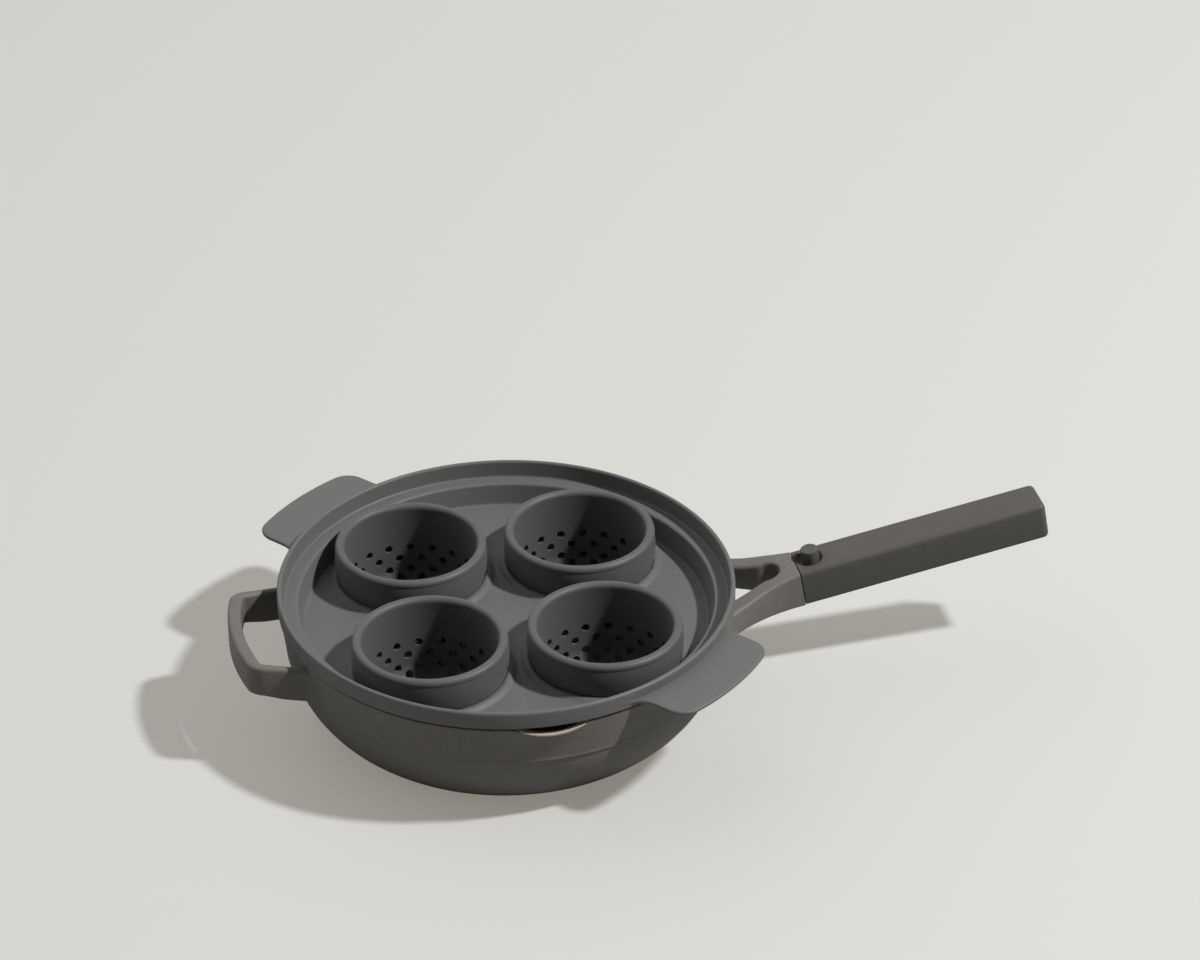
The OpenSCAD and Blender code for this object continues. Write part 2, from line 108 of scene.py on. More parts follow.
LOOP_TOP = 66.85
LOOP_HINGE = 140.0
LOOP_RISE = 6.3
LOOP_BOW_R = 125.64
LOOP_BOW_C = 34.28
LOOP_BOW_A = 15.2
LOOP_CORNER_R = 7.28
LOOP_SPREAD = 11.8
LOOP_BAR = 3.95
LOOP_ARM = 3.1
LOOP_NECK = 2.7
LOOP_NECK_RUN = 12.0
LOOP_REACH = 34.0
LOOP_STEPS = 48
LOOP_DEPTH = 19.6
LOOP_DEEPER = 1.9
LOOP_DEEP_START = 152.0
LOOP_DEEP_RUN = 15.0
LOOP_ROOT = 15.0
LOOP_THROAT = 4.0
LOOP_EDGE = 2.2
LOOP_WALL_R = 130.4
LOOP_BITE = 0.8

SEAM_X = 175.0
SEAM_Z = 66.8
HANDLE_PITCH = 10.3
GRIP_DEPTH = 23.7
GRIP_HALF = 13.1
GRIP_END = 153.35
GRIP_CORNER = 3.6
GRIP_EDGES = (3.0, 2.8)
JOINT_GAP = 0.3
JOINT_OVER = 4.0
GRIP_START = 0.7
YOKE_EDGES = (2.1, 1.6)
YOKE_R = 110.4
YOKE_IN_R = 121.0
YOKE_C = (19.68, 121.74)
YOKE_END = (-18.2, 7.9)
YOKE_LEN = 56.0
YOKE_FORK = -23.0
YOKE_WEDGE = 9.8
YOKE_DIP = 1.3
YOKE_DIP_X = -33.0
YOKE_DIP_HALF = 22.0
TANG = (7.0, 5.0, 110.0)
SOCKET = 6.0
PEG = (10.2, 1.5)
PEG_BORE = (2.8, 10.3)
DISH_X = 9.3
DISH_FLOOR = -3.2
DISH_SIDE = ((5.4, -3.2), (6.0, -2.95), (7.5, -1.1), (7.9, -0.55), (8.3, -0.25), (8.8, -0.06), (9.3, 0.05))
SCREW_X = 95.0
SCREW_BORE = (2.3, 4.8, 2.5)

TRAY_R = 134.3
TRAY_TOP = 80.0
TRAY_BEAD = 1.5
TRAY_EDGE = 0.8
TRAY_LIFT = 0.8
TRAY_SEAT = 131.4
WELL_Z = 56.0
WELL_UNDER = 53.0
WELL_R = 121.8
WELL_FOOT = 119.2
WELL_LEAN = 12.63
WELL_WALL = 2.8
WELL_FILLET = 2.5
WELL_EDGE = 1.0
RIM_FOOT = 130.3
RIM_DRAFT = 6.4
RIM_FILLET = 1.5
LEDGE_Z = 69.6
LEDGE_EDGE = 2.0
STEP_R = 128.2
STEP_Z = 66.5
STEP_ROOT = 1.7
CUP_D = 71.9
CUP_A = 40.98
SEAT_R = 44.6
SEAT_Z = 55.0
OPENING_R = 41.9
COLLAR_R = 46.0
COLLAR_TOP = 57.9
COLLAR_FLARE = 4.6
COLLAR_EDGE = 0.7
COLLAR_OVER = 0.3
COLLAR_SINK = 0.1
TAB_ANGLES = (130.1, 311.0)
TAB_REACH = 163.55
TAB_HALF = 42.5
TAB_Z = (71.5, 74.0)
TAB_CORNER = 13.0
TAB_ROOT = 14.0
TAB_EDGE = 1.2
TAB_INNER = 131.9
TAB_TUCK = 0.6

COLUMNS = 360
SHARP = 32.0
WELD = 0.000004
FAR = 400.0


class Shader:
    """A material's node tree, with short ways to add and join nodes."""

    def __init__(self, name, **sockets):
        self.material = bpy.data.materials.new(name)
        self.material.use_nodes = True
        self.tree = self.material.node_tree
        self.bsdf = self.tree.nodes["Principled BSDF"]
        for socket, value in sockets.items():
            self.bsdf.inputs[socket.replace("_", " ")].default_value = value
        self.place = self.add("ShaderNodeTexCoord").outputs["Object"]

    def add(self, kind, **settings):
        node = self.tree.nodes.new(kind)
        for key, value in settings.items():
            if hasattr(node, key):
                setattr(node, key, value)
            else:
                node.inputs[key.replace("_", " ")].default_value = value
        return node

    def join(self, output, node, socket):
        self.tree.links.new(output, node.inputs[socket])

    def noise(self, scale, detail=2.0, roughness=0.5, vector=None):
        node = self.add("ShaderNodeTexNoise", Scale=scale, Detail=detail, Roughness=roughness)
        self.join(vector or self.place, node, "Vector")
        return node.outputs["Fac"]

    def ramp(self, factor, *stops):
        """A colour ramp through (position, colour) stops."""
        node = self.add("ShaderNodeValToRGB")
        elements = node.color_ramp.elements
        while len(elements) < len(stops):
            elements.new(0.5)
        for element, (position, colour) in zip(elements, stops):
            element.position = position
            element.color = (*colour, 1.0)
        self.join(factor, node, "Fac")
        return node.outputs["Color"]

    def span(self, factor, low, high):
        """The factor's 0.3 to 0.7 mapped to low to high."""
        node = self.add("ShaderNodeMapRange")
        for socket, value in (("From Min", 0.3), ("From Max", 0.7), ("To Min", low), ("To Max", high)):
            node.inputs[socket].default_value = value
        self.join(factor, node, "Value")
        return node.outputs["Result"]

    def mix(self, factor, a, b):
        """Colour a where factor is 0 and b where it is 1; each may be an output or a colour."""
        node = self.add("ShaderNodeMix", data_type="RGBA")
        self.join(factor, node, 0)
        for index, value in ((6, a), (7, b)):
            if isinstance(value, tuple):
                node.inputs[index].default_value = (*value, 1.0)
            else:
                self.join(value, node, index)
        return node.outputs[2]

    def bump(self, height, distance, strength=1.0, under=None):
        node = self.add("ShaderNodeBump", Distance=distance, Strength=strength)
        self.join(height, node, "Height")
        if under:
            self.join(under, node, "Normal")
        return node.outputs["Normal"]

    def colour(self, output):
        self.join(output, self.bsdf, "Base Color")

    def rough(self, output):
        self.join(output, self.bsdf, "Roughness")

    def normal(self, output):
        self.join(output, self.bsdf, "Normal")


def shade(colour, factor):
    return tuple(c * factor for c in colour)


def cast_coating():
    """Sprayed matte coating on cast aluminium: fine speckle, faint mottling."""
    s = Shader("cast_coating", Roughness=0.6)
    speck = s.noise(1500, 3.0, 0.65)
    mottle = s.noise(60, 4.0)
    dark, light = shade(CAST_COLOUR, 0.80), shade(CAST_COLOUR, 1.32)
    fine = s.ramp(speck, (0.36, dark), (0.52, CAST_COLOUR), (0.68, light))
    s.colour(s.mix(s.span(mottle, 0.0, 0.22), fine, shade(CAST_COLOUR, 0.86)))
    s.rough(s.span(mottle, 0.52, 0.66))
    s.normal(s.bump(speck, 0.00010, 0.55, s.bump(s.noise(420, 2.0), 0.00016, 0.35)))
    return s.material


def light_lining():
    """Pale glazed inner coating with a few fine specks."""
    s = Shader("light_lining", Roughness=0.28)
    dark, light = shade(LINING_COLOUR, 0.80), shade(LINING_COLOUR, 1.05)
    s.colour(s.ramp(s.noise(700, 1.0), (0.26, dark), (0.34, LINING_COLOUR), (0.8, light)))
    s.rough(s.span(s.noise(90, 3.0), 0.30, 0.38))
    s.normal(s.bump(s.noise(240, 2.0), 0.00003, 0.4))
    return s.material


def silicone(name, colour):
    """Moulded silicone: satin, with a faint bloom and a very fine tooth."""
    s = Shader(name, Roughness=0.55, Specular_IOR_Level=0.42, Sheen_Weight=0.06, Sheen_Roughness=0.5)
    bloom = s.noise(26, 4.0)
    fine = s.ramp(s.noise(1700, 2.0), (0.3, shade(colour, 0.95)), (0.7, shade(colour, 1.05)))
    s.colour(s.mix(s.span(bloom, 0.0, 0.25), fine, shade(colour, 1.12)))
    s.rough(s.span(bloom, 0.50, 0.60))
    s.normal(s.bump(s.noise(1300, 3.0), 0.00004, 0.5))
    return s.material


def grip_plastic():
    """Matte moulded plastic with a fine spark-eroded texture."""
    s = Shader("grip_plastic", Roughness=0.55, Specular_IOR_Level=0.3)
    grain = s.noise(1400, 3.0, 0.6)
    s.colour(s.ramp(grain, (0.35, shade(GRIP_COLOUR, 0.88)), (0.65, shade(GRIP_COLOUR, 1.12))))
    s.rough(s.span(s.noise(40, 3.0), 0.48, 0.60))
    s.normal(s.bump(grain, 0.00008, 0.5))
    return s.material


def turned_steel():
    """Steel with fine turned marks round the object's axis."""
    s = Shader("steel", Metallic=1.0, Roughness=0.32)
    radius = s.add("ShaderNodeVectorMath", operation="LENGTH")
    s.join(s.place, radius, 0)
    vector = s.add("ShaderNodeCombineXYZ")
    s.join(radius.outputs["Value"], vector, "X")
    marks = s.noise(2600, 2.0, vector=vector.outputs["Vector"])
    s.colour(s.ramp(marks, (0.3, shade(STEEL_COLOUR, 0.85)), (0.7, STEEL_COLOUR)))
    s.rough(s.span(marks, 0.26, 0.42))
    s.normal(s.bump(marks, 0.00003, 0.5))
    return s.material


def floor_paint():
    """Pale floor, which looks a little brighter to the camera than the light it gives the object."""
    s = Shader("floor", Roughness=0.8)
    path = s.add("ShaderNodeLightPath")
    bounce = (FLOOR_BOUNCE, FLOOR_BOUNCE, FLOOR_BOUNCE)
    seen = path.outputs["Is Camera Ray"]
    s.colour(s.mix(seen, bounce, FLOOR_COLOUR))
    s.join(s.mix(seen, (0.0, 0.0, 0.0), FLOOR_LIFT), s.bsdf, "Emission Color")
    s.bsdf.inputs["Emission Strength"].default_value = 1.0
    return s.material


def dress(obj, material):
    obj.data.materials.clear()
    obj.data.materials.append(material)


# Mesh tools, in millimetres


def spaced(start, end, steps):
    """Evenly spaced values from start to end, with both."""
    return [start + (end - start) * i / steps for i in range(steps + 1)]


def arc(x, z, r, start, end, steps=8):
    """Points on an arc about (x, z), from one angle to another, in degrees."""
    return [(x + r * cos(radians(a)), z + r * sin(radians(a))) for a in spaced(start, end, steps)]


def ease(t):
    """0 to 1 with a soft start and end."""
    t = min(max(t, 0.0), 1.0)
    return t * t * (3 - 2 * t)


def soften(obj):
    """Welds a mesh and shades it smooth up to the sharp angle."""
    mesh = obj.data
    bm = bmesh.new()
    bm.from_mesh(mesh)
    bmesh.ops.remove_doubles(bm, verts=bm.verts, dist=WELD)
    bmesh.ops.dissolve_degenerate(bm, edges=bm.edges, dist=WELD)
    bmesh.ops.recalc_face_normals(bm, faces=bm.faces)
    bm.to_mesh(mesh)
    bm.free()
    mesh.shade_smooth()
    mesh.set_sharp_from_angle(angle=radians(SHARP))


def solid(name, verts, faces):
    mesh = bpy.data.meshes.new(name)
    mesh.from_pydata([tuple(c * MM for c in v) for v in verts], [], faces)
    obj = bpy.data.objects.new(name, mesh)
    bpy.context.scene.collection.objects.link(obj)
    soften(obj)
    return obj


def hoops(rows, n, closed):
    """Faces between successive hoops of n points; closed joins the last hoop to the first."""
    faces = []
    for j in range(rows if closed else rows - 1):
        a, b = j * n, (j + 1) % rows * n
        faces += [(a + i, a + (i + 1) % n, b + (i + 1) % n, b + i) for i in range(n)]
    return faces


def lathe(name, section, at=(0, 0), steps=COLUMNS):
    """A half section turned about the vertical. An entry is (r, z), or gives it for an angle."""
    verts = []
    for entry in section:
        for i in range(steps):
            a = 2 * pi * i / steps
            r, z = entry(a) if callable(entry) else entry
            verts.append((at[0] + r * cos(a), at[1] + r * sin(a), z))
    on_axis = not callable(section[0]) and section[0][0] == 0
    return solid(name, verts, hoops(len(section), steps, not on_axis))


def combine(obj, operation, tools):
    """Adds or cuts the tools, which are used up."""
    for tool in tools:
        modifier = obj.modifiers.new(tool.name, "BOOLEAN")
        modifier.operation = operation
        modifier.solver = "MANIFOLD"
        modifier.object = tool
    bpy.context.view_layer.update()
    shaped = bpy.data.meshes.new_from_object(obj.evaluated_get(bpy.context.evaluated_depsgraph_get()))
    obj.modifiers.clear()
    obj.data = shaped
    for tool in tools:
        bpy.data.objects.remove(tool)
    soften(obj)


def inset(outline, d):
    """A closed counter-clockwise outline moved inwards by d."""
    moved = []
    for i, (x, y) in enumerate(outline):
        (ax, ay), (cx, cy) = outline[i - 1], outline[(i + 1) % len(outline)]
        before = Vector((ay - y, x - ax)).normalized()
        after = Vector((y - cy, cx - x)).normalized()
        mitre = (before + after) / max(1 + before.dot(after), 0.3)
        moved.append((x + mitre.x * d, y + mitre.y * d))
    return moved


def inside(x, y, outline):
    hit = False
    for i, (ax, ay) in enumerate(outline):
        bx, by = outline[i - 1]
        if (ay > y) != (by > y) and x < ax + (y - ay) * (bx - ax) / (by - ay):
            hit = not hit
    return hit


def cover(outline, pitch):
    """Plan points and triangles that fill a closed outline, with a grid of points inside it."""
    xs, ys = [p[0] for p in outline], [p[1] for p in outline]
    points = list(outline)
    for i in range(int(min(xs) // pitch), int(max(xs) // pitch) + 1):
        for j in range(int(min(ys) // pitch), int(max(ys) // pitch) + 1):
            x, y = i * pitch, j * pitch
            if inside(x, y, outline) and min(hypot(x - a, y - b) for a, b in outline) > 0.6 * pitch:
                points.append((x, y))
    n = len(outline)
    edges = [(i, (i + 1) % n) for i in range(n)]
    found = delaunay_2d_cdt([Vector(p) for p in points], edges, [], 1, 0.0001)
    return [tuple(v) for v in found[0]], [tuple(f) for f in found[2]]


def slab(name, outline, edges, top, bottom, pitch):
    """A plate over an outline, from bottom(x, y) to top(x, y), with upper and lower edges rounded."""
    upper, lower = edges
    turn = arc(0, 0, 1, 0, 90, 6)
    verts = []
    for c, s in reversed(turn):
        verts += [(x, y, bottom(x, y) + lower * (1 - s)) for x, y in inset(outline, lower * (1 - c))]
    for c, s in turn:
        verts += [(x, y, top(x, y) - upper * (1 - s)) for x, y in inset(outline, upper * (1 - c))]
    faces = hoops(2 * len(turn), len(outline), False)
    for d, level in ((upper, top), (lower, bottom)):
        points, triangles = cover(inset(outline, d), pitch)
        faces += [tuple(len(verts) + i for i in t) for t in triangles]
        verts += [(x, y, level(x, y)) for x, y in points]
    return solid(name, verts, faces)


def block(low, high):
    """A plain cutting tool between two opposite corners."""
    corners = [(x, y, z) for x in (low[0], high[0]) for y in (low[1], high[1]) for z in (low[2], high[2])]
    faces = [(0, 1, 3, 2), (4, 6, 7, 5), (0, 4, 5, 1), (2, 3, 7, 6), (0, 2, 6, 4), (1, 5, 7, 3)]
    return solid("tool", corners, faces)


def trim(obj, x, side):
    """Cuts a piece square at x and keeps the part on the given side."""
    low, high = ((-FAR, x) if side > 0 else (x, FAR))
    combine(obj, "DIFFERENCE", [block((low, -FAR, -FAR), (high, FAR, FAR))])


def fillet_foot(x, z, lean, r):
    """A rounding of radius r where a wall leaning out by lean degrees stands on a floor at (x, z)."""
    a = radians(lean)
    up = r * (1 - sin(a)) / cos(a)
    return arc(x + up * sin(a) - r * cos(a), z + r, r, -90, -lean, 6)


# The pan


def wall_r(z, t, angle):
    """Radius of the pan's wall at height z, set in by t, with the pouring lips."""
    if z < BAND_Z:
        return BELLY_X + sqrt((BELLY_R - t) ** 2 - (BELLY_Z - z) ** 2)
    start = wall_r(BAND_Z - HAIR, t, angle) + (0 if t else BAND_STEP)
    plain = start + (PAN_R - t - start) * (z - BAND_Z) / (PAN_H - BAND_Z)
    r = LIP_R - LIP_TAPER * min((PAN_H - z) / LIP_H, 1.3) - t
    c = PAN_R + LIP_OUT - LIP_R
    side = r * r - (c * cos(angle)) ** 2
    if side <= 0:
        return plain
    lip = c * abs(sin(angle)) + sqrt(side)
    mix = max(LIP_BLEND - abs(lip - plain), 0) / LIP_BLEND
    return max(lip, plain) + mix * mix * LIP_BLEND / 4


def rim_z(angle):
    """Height of the rim, lower over the pouring lips."""
    x = (PAN_R + LIP_OUT) * cos(angle)
    if abs(x) > LIP_DIP_R / 2:
        return PAN_H
    dip = PAN_H + LIP_DIP_R - LIP_DIP - sqrt(LIP_DIP_R ** 2 - x * x)
    mix = max(DIP_BLEND - abs(dip - PAN_H), 0) / DIP_BLEND
    return min(dip, PAN_H) - mix * mix * DIP_BLEND / 4


def on_wall(share, t, drop, start=BAND_Z):
    """A point up the band, as a share of its height to drop below the rim."""
    def place(angle):
        z = start + share * (rim_z(angle) - drop - start)
        return wall_r(z, t, angle), z
    return place


def on_band(up, out):
    """A point of the fine bead along the band's lower edge."""
    def place(angle):
        return wall_r(BAND_Z + up, 0, angle) + out, BAND_Z + up
    return place


def on_rim(plain, spout=None, t=0):
    """A point by the rim, as (out, up) from the wall's top edge, with another one for the pouring lips."""
    def place(angle):
        top = rim_z(angle)
        share = ease((PAN_H - top) / SPOUT_START)
        out, up = (a + (b - a) * share for a, b in zip(plain, spout or plain))
        return wall_r(top + up, t, angle) + out, top + up
    return place


def belly(t, bottom, steps=16):
    """The lower wall from its foot up to the band."""
    levels = [bottom + (BAND_Z - HAIR - bottom) * ease(share) for share in spaced(0, 1, steps)]
    return [(wall_r(z, t, 0), z) for z in levels]


def pan_form():
    """The cast shell, with its rim's outer edge rounded and turned down in the lips."""
    edge = LINING + RIM_EDGE
    section = [(0, DISC_T), (DISC_R, DISC_T), (DISC_R, 0)] + belly(0, 0)
    section += [on_band(up, out) for up, out in BAND_BEAD]
    section += [on_wall(share, 0, edge, BAND_Z + BAND_BEAD[-1][0]) for share in spaced(0, 1, 12)[1:]]
    section += [on_rim(((c - 1) * RIM_EDGE, (s - 1) * RIM_EDGE - LINING),
                       ((c - 1) * SPOUT_EDGE, (s - 1) * SPOUT_EDGE - LINING - SPOUT_FALL))
                for c, s in arc(0, 0, 1, 15, 90, 5)]
    section += [on_wall(share, WALL, LINING) for share in spaced(1, 0, 10)]
    section += belly(WALL, FLOOR)[::-1] + [(0, FLOOR)]
    return lathe("pan_form", section)


def lining_form():
    """The coating over the inside and the rim's top, out to the edge only in the lips."""
    deep = WALL + LINING
    section = [(0, FLOOR)] + belly(WALL, FLOOR)
    section += [on_wall(share, WALL, LINING) for share in spaced(0, 1, 10)]
    section += [on_rim(((c - 1) * LINING - RIM_EDGE - RIM_INSET, (s - 1) * LINING),
                       ((c - 1) * SPOUT_TURN - SPOUT_EDGE, (s - 1) * (LINING + SPOUT_FALL)))
                for c, s in arc(0, 0, 1, 0, 90, 5)]
    section += [on_rim(((1 - c) * INNER_EDGE, (s - 1) * INNER_EDGE), t=deep)
                for c, s in arc(0, 0, 1, 90, 0, 5)]
    section += [on_wall(share, deep, INNER_DROP) for share in spaced(1, 0, 10)]
    section += belly(deep, FLOOR + LINING)[::-1] + [(0, FLOOR + LINING)]
    return lathe("lining_form", section)


def pan_core():
    """The inside of the pan's wall, to cut what runs into it."""
    top = PAN_R - WALL / 2
    section = [(0, 0)] + [(r - WALL / 2, z) for r, z in belly(0, 0)] + [(top, PAN_H), (top, FAR), (0, FAR)]
    return lathe("tool", section)


# The helper loop, seen from above with x out from the pan


def flare(origin, along, out, width, r):
    """Where along the arm its root of radius r starts to widen, and where it touches the wall."""
    base = origin + out * (width + r)
    b, c = base.dot(along), base.dot(base) - (LOOP_WALL_R + r) ** 2
    start = -b - sqrt(b * b - c)
    centre = base + along * start
    return start, min(-centre.dot(along) * r / (LOOP_WALL_R + r) + LOOP_BITE, r * 0.97)


def widen(s, root, r):
    """How much wider the arm's side is at s along it, on a root of radius r."""
    start, touch = root
    run = min(max(s - start, 0.0), touch)
    return r - sqrt(r * r - run * run)


def loop_stations():
    """Half the loop: centre, outward normal, outer and inner half widths."""
    stations = []
    for a in [LOOP_BOW_A * i / 12 for i in range(12)]:
        out = Vector((cos(radians(a)), sin(radians(a))))
        stations.append((Vector((LOOP_BOW_C, 0)) + out * LOOP_BOW_R, out, LOOP_BAR, LOOP_BAR))
    turn = Vector((cos(radians(LOOP_BOW_A)), sin(radians(LOOP_BOW_A))))
    corner = Vector((LOOP_BOW_C, 0)) + turn * (LOOP_BOW_R - LOOP_CORNER_R)
    for i in range(13):
        a = radians(LOOP_BOW_A + (90 - LOOP_SPREAD - LOOP_BOW_A) * i / 12)
        out = Vector((cos(a), sin(a)))
        half = LOOP_BAR + (LOOP_ARM - LOOP_BAR) * ease(i / 12)
        stations.append((corner + out * LOOP_CORNER_R, out, half, half))
    origin, out = stations[-1][:2]
    along = Vector((-out.y, out.x))
    outer = flare(origin, along, out, LOOP_ARM, LOOP_ROOT)
    throat = flare(origin, along, -out, LOOP_ARM, LOOP_THROAT)
    for i in range(1, LOOP_STEPS + 1):
        s = LOOP_REACH * i / LOOP_STEPS
        half = LOOP_ARM + (LOOP_NECK - LOOP_ARM) * ease(s / LOOP_NECK_RUN)
        sides = half + widen(s, outer, LOOP_ROOT), half + widen(s, throat, LOOP_THROAT)
        stations.append((origin + along * s, out, *sides))
    return stations


def loop_form():
    half = loop_stations()
    flip = [(Vector((c.x, -c.y)), Vector((o.x, -o.y)), a, b) for c, o, a, b in half[:0:-1]]
    verts = []
    for centre, out, outer, inner in flip + half:
        top = LOOP_TOP + (centre.x - LOOP_HINGE) * tan(radians(LOOP_RISE))
        depth = LOOP_DEPTH + LOOP_DEEPER * ease((LOOP_DEEP_START - centre.x) / LOOP_DEEP_RUN)
        e = LOOP_EDGE
        section = arc(outer - e, -e, e, 0, 90, 5) + arc(e - inner, -e, e, 90, 180, 5)
        section += arc(e - inner, e - depth, e, 180, 270, 5) + arc(outer - e, e - depth, e, 270, 360, 5)
        for across, up in section:
            p = centre + out * across
            verts.append((-p.x, p.y, top + up))
    n = len(section)
    count = len(verts) // n
    faces = hoops(count, n, False) + [tuple(range(n)), tuple(range((count - 1) * n, count * n))]
    form = solid("loop_form", verts, faces)
    combine(form, "DIFFERENCE", [pan_core()])
    return form


# The long handle, with x along it from the joint line and z up from its top


def on_handle(obj):
    slope = Matrix.Rotation(radians(-HANDLE_PITCH), 4, "Y")
    obj.data.transform(Matrix.Translation((SEAM_X * MM, 0, SEAM_Z * MM)) @ slope)
    return obj


def yoke_side(r, start, end, steps):
    """Points along a yoke arm's side, an arc of radius r."""
    return [(x, YOKE_C[1] - sqrt(r * r - (x - YOKE_C[0]) ** 2)) for x in spaced(start, end, steps)]


def tang_bar(start, end, gap):
    """A tool for the tang's place along the handle, with a gap round it."""
    middle = -GRIP_DEPTH / 2
    across, up = TANG[0] + gap, TANG[1] + gap
    return block((start, -across, middle - up), (end, across, middle + up))


def yoke_form():
    half = yoke_side(YOKE_R, JOINT_OVER, -YOKE_LEN, 40) + yoke_side(YOKE_IN_R, -YOKE_LEN, YOKE_FORK, 24)
    half += arc(YOKE_END[0], 0, YOKE_END[1], 105, 0, 14)
    outline = half + [(x, -y) for x, y in half[-2::-1]]

    def top(x, y):
        return -YOKE_DIP * ease(1 - abs(x - YOKE_DIP_X) / YOKE_DIP_HALF)

    def bottom(x, y):
        return -GRIP_DEPTH - x * tan(radians(YOKE_WEDGE))

    form = slab("yoke_form", outline, YOKE_EDGES, top, bottom, 3.0)
    trim(form, 0, -1)
    combine(form, "DIFFERENCE", [tang_bar(-SOCKET, 1, 0)])
    on_handle(form)
    combine(form, "DIFFERENCE", [pan_core()])
    return form


def grip_form():
    x, y = GRIP_END - GRIP_CORNER, GRIP_HALF - GRIP_CORNER
    outline = arc(x, -y, GRIP_CORNER, -90, 0, 8) + arc(x, y, GRIP_CORNER, 0, 90, 8)
    outline = [(-JOINT_OVER, -GRIP_HALF), *outline, (-JOINT_OVER, GRIP_HALF)]
    form = slab("grip_form", outline, GRIP_EDGES, lambda x, y: 0.0, lambda x, y: -GRIP_DEPTH, 8.0)
    trim(form, GRIP_START, 1)
    bowl = [(0, DISH_FLOOR), *DISH_SIDE, (DISH_SIDE[-1][0], 1), (0, 1)]
    r, depth = PEG_BORE
    top = DISH_FLOOR + 0.2
    bore = [(0, DISH_FLOOR - depth), (r, DISH_FLOOR - depth), (r, top), (0, top)]
    shank, head, sunk = SCREW_BORE
    middle = -GRIP_DEPTH / 2
    screw = [(0, -FAR), (head, -FAR), (head, -GRIP_DEPTH), (shank, sunk - GRIP_DEPTH),
             (shank, middle), (0, middle)]
    tools = [tang_bar(-1, TANG[2] + JOINT_GAP, JOINT_GAP / 2), lathe("tool", bowl, (DISH_X, PEG[1]), 96),
             lathe("tool", bore, PEG, 48), lathe("tool", screw, (SCREW_X, 0), 64)]
    combine(form, "DIFFERENCE", tools)
    return on_handle(form)


# The tray


def tray_ring():
    """The tray without its openings and tabs: well, ledge, rim, seat and centring step."""
    under = WELL_FOOT + WELL_WALL
    rim_under = PAN_H + TRAY_LIFT
    section = [(0, WELL_Z)] + fillet_foot(WELL_FOOT, WELL_Z, WELL_LEAN, WELL_FILLET)
    section += arc(WELL_R + LEDGE_EDGE, LEDGE_Z - LEDGE_EDGE, LEDGE_EDGE, 180 - WELL_LEAN, 90, 8)
    section += fillet_foot(RIM_FOOT, LEDGE_Z, RIM_DRAFT, RIM_FILLET)
    section += arc(TRAY_R - TRAY_BEAD, TRAY_TOP - TRAY_BEAD, TRAY_BEAD, 180 - RIM_DRAFT, 0, 14)
    section += arc(TRAY_R - TRAY_EDGE, rim_under + TRAY_EDGE, TRAY_EDGE, 0, -90, 5)
    section += [(TRAY_SEAT, rim_under), (TRAY_SEAT, PAN_H), (STEP_R, PAN_H), (STEP_R, STEP_Z)]
    section += [(under + STEP_ROOT, STEP_Z)]
    section += arc(under - WELL_EDGE, WELL_UNDER + WELL_EDGE, WELL_EDGE, 0, -90, 4) + [(0, WELL_UNDER)]
    return lathe("tray_form", section)


def tab(angle):
    """A lifting tab with rounded edges and soft roots, running into the rim's wall."""
    corner_y = TAB_HALF - TAB_CORNER
    corner_x = sqrt((TAB_REACH - TAB_CORNER) ** 2 - corner_y ** 2)
    root_y = TAB_HALF + TAB_ROOT
    root_x = sqrt((TRAY_R + TAB_ROOT) ** 2 - root_y ** 2)
    lean = Vector((root_x, root_y)).angle(Vector((1, 0))) * 180 / pi
    swing = Vector((corner_x, corner_y)).angle(Vector((1, 0))) * 180 / pi
    half = arc(0, 0, TAB_REACH, 0, swing, 10)[:-1] + arc(corner_x, corner_y, TAB_CORNER, swing, 90, 12)
    half += arc(root_x, root_y, TAB_ROOT, 270, 180 + lean, 14)
    half += arc(0, 0, TAB_INNER, lean + TAB_TUCK, 0, 12)[:-1]
    outline = half + [(TAB_INNER, 0)] + [(x, -y) for x, y in half[:0:-1]]
    bottom, top = TAB_Z
    plate = slab("tool", outline, (TAB_EDGE, TAB_EDGE), lambda x, y: top, lambda x, y: bottom, 9.0)
    plate.data.transform(Matrix.Rotation(radians(angle), 4, "Z"))
    return plate


def cup_place(i):
    a = radians(CUP_A + 90 * i)
    return CUP_D * cos(a), CUP_D * sin(a)


def collar(i):
    """The low soft ring round a cup's opening."""
    inner, edge = SEAT_R - COLLAR_OVER, COLLAR_EDGE
    fall = COLLAR_TOP - WELL_Z + COLLAR_SINK
    section = [(inner, WELL_UNDER + 1), (inner, COLLAR_TOP - edge)]
    section += arc(inner + edge, COLLAR_TOP - edge, edge, 180, 90, 5)[1:]
    section += [(COLLAR_R + COLLAR_FLARE * share, COLLAR_TOP - fall * ease(share))
                for share in spaced(0, 1, 12)]
    section += [(COLLAR_R + COLLAR_FLARE, WELL_UNDER + 1)]
    return lathe("tool", section, cup_place(i), 192)


def opening(i):
    """The hole that a cup hangs in, with the seat for its shoulder."""
    section = [(0, WELL_UNDER - 5), (OPENING_R, WELL_UNDER - 5), (OPENING_R, SEAT_Z), (SEAT_R, SEAT_Z),
               (SEAT_R, TRAY_TOP), (0, TRAY_TOP)]
    return lathe("tool", section, cup_place(i), 192)


def tray_form():
    form = tray_ring()
    combine(form, "UNION", [tab(a) for a in TAB_ANGLES] + [collar(i) for i in range(4)])
    combine(form, "DIFFERENCE", [opening(i) for i in range(4)])
    return form


def serve(obj, body, node, material):
    """The piece rides on its body in place of its CAD node."""
    obj.name = obj.data.name = node + "_form"
    dress(obj, material)
    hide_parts(node)
    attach(obj, body)


def add_floor():
    f = FLOOR_HALF / MM
    floor = solid("floor", [(-f, -f, 0), (f, -f, 0), (f, f, 0), (-f, f, 0)], [(0, 1, 2, 3)])
    dress(floor, floor_paint())


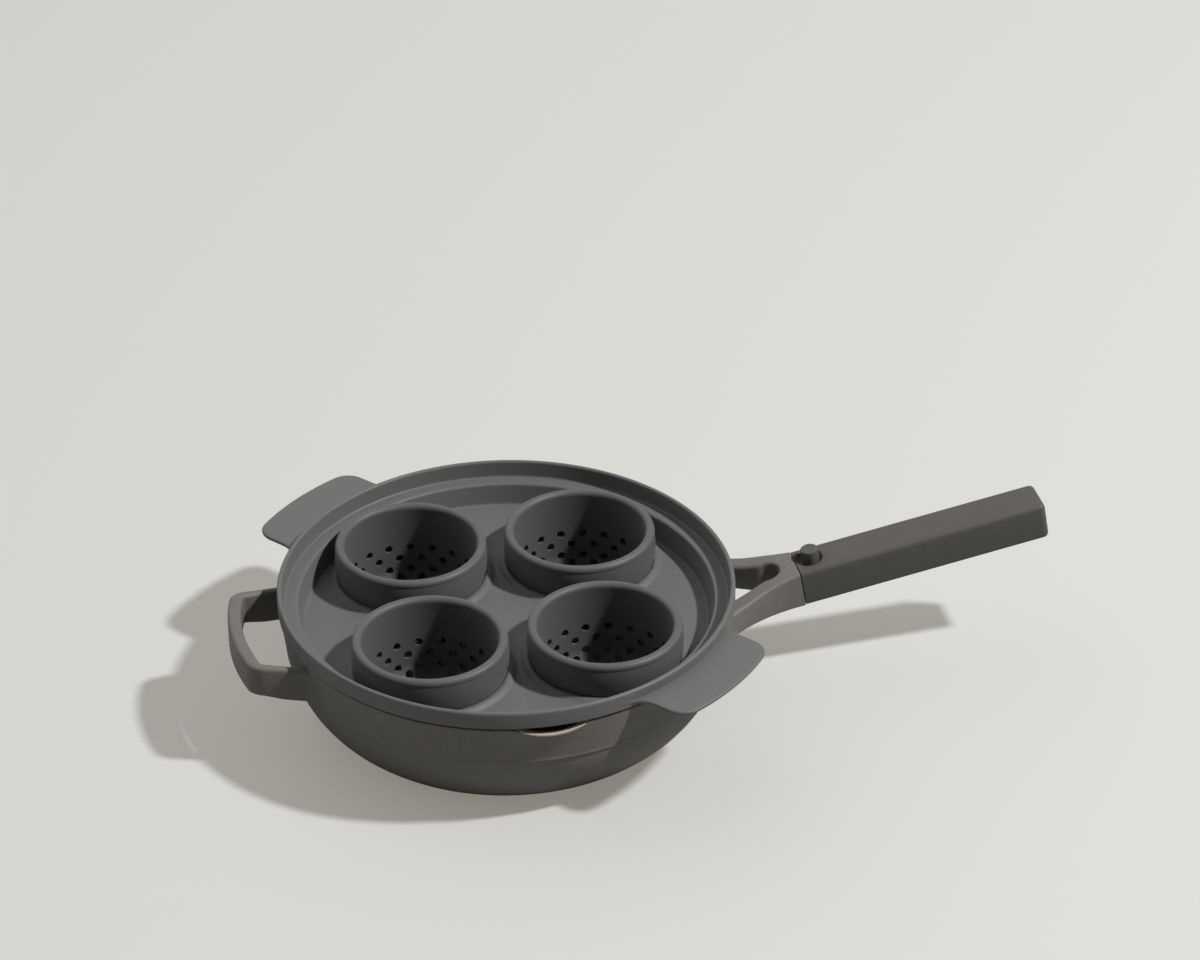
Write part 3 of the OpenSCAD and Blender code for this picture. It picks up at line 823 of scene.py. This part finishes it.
def add_camera():
    data = bpy.data.cameras.new("camera")
    data.lens = CAMERA_LENS
    data.shift_x = CAMERA_SHIFT
    camera = bpy.data.objects.new("camera", data)
    axes = Matrix((CAMERA_RIGHT, CAMERA_UP, CAMERA_BACK)).transposed()
    camera.matrix_world = Matrix.Translation(CAMERA_PLACE) @ axes.to_4x4()
    bpy.context.scene.collection.objects.link(camera)
    bpy.context.scene.camera = camera


def add_key():
    data = bpy.data.lights.new("key", "AREA")
    data.shape = "DISK"
    data.size = KEY_SIZE
    data.energy = KEY_WATTS
    data.color = KEY_COLOUR
    lamp = bpy.data.objects.new("key", data)
    lamp.location = KEY_PLACE
    lamp.rotation_mode = "QUATERNION"
    lamp.rotation_quaternion = (Vector(KEY_AIM) - Vector(KEY_PLACE)).to_track_quat("-Z", "Y")
    bpy.context.scene.collection.objects.link(lamp)


def add_sky():
    """Soft light from behind and the left over a low even level, with a plain backdrop."""
    world = bpy.data.worlds.new("sky")
    bpy.context.scene.world = world
    world.use_nodes = True
    nodes, links = world.node_tree.nodes, world.node_tree.links
    ambient = nodes["Background"]
    ambient.inputs["Color"].default_value = (*SKY_COLOUR, 1.0)
    towards = nodes.new("ShaderNodeTexCoord")
    dot = nodes.new("ShaderNodeVectorMath")
    dot.operation = "DOT_PRODUCT"
    dot.inputs[1].default_value = SKY_AIM
    links.new(towards.outputs["Generated"], dot.inputs[0])
    value = dot.outputs["Value"]
    steps = ("MAXIMUM", 0.0), ("POWER", 2.0), ("MULTIPLY", SKY_STRENGTH), ("ADD", SKY_BASE)
    for operation, second in steps:
        step = nodes.new("ShaderNodeMath")
        step.operation = operation
        step.inputs[1].default_value = second
        links.new(value, step.inputs[0])
        value = step.outputs["Value"]
    links.new(value, ambient.inputs["Strength"])
    seen = nodes.new("ShaderNodeBackground")
    seen.inputs["Color"].default_value = (*BACKDROP_COLOUR, 1.0)
    path = nodes.new("ShaderNodeLightPath")
    mix = nodes.new("ShaderNodeMixShader")
    links.new(path.outputs["Is Camera Ray"], mix.inputs["Fac"])
    links.new(ambient.outputs["Background"], mix.inputs[1])
    links.new(seen.outputs["Background"], mix.inputs[2])
    links.new(mix.outputs["Shader"], nodes["World Output"].inputs["Surface"])


add_camera()
add_key()
add_sky()
add_floor()
bpy.context.scene.view_settings.view_transform = "Standard"

cast = cast_coating()
steel = turned_steel()
grip = grip_plastic()
# A darker copy of the tray's silicone for the cups, with painted shade in its colour
cup_silicone = silicone("cup_silicone", CUP_SHADED_COLOUR)
serve(pan_form(), "pan", "pan_body", cast)
serve(lining_form(), "pan", "pan_lining", light_lining())
serve(loop_form(), "pan", "helper_handle", cast)
serve(yoke_form(), "pan", "handle_yoke", cast)
serve(grip_form(), "pan", "handle_grip", grip)
serve(tray_form(), "tray", "poacher_tray", silicone("tray_silicone", TRAY_COLOUR))
for name in ("base_disc", "handle_tang", "grip_screw"):
    dress(NODES[name], steel)
dress(NODES["spoon_peg"], grip)
for i in range(4):
    dress(NODES["egg_cup_%d" % (i + 1)], cup_silicone)
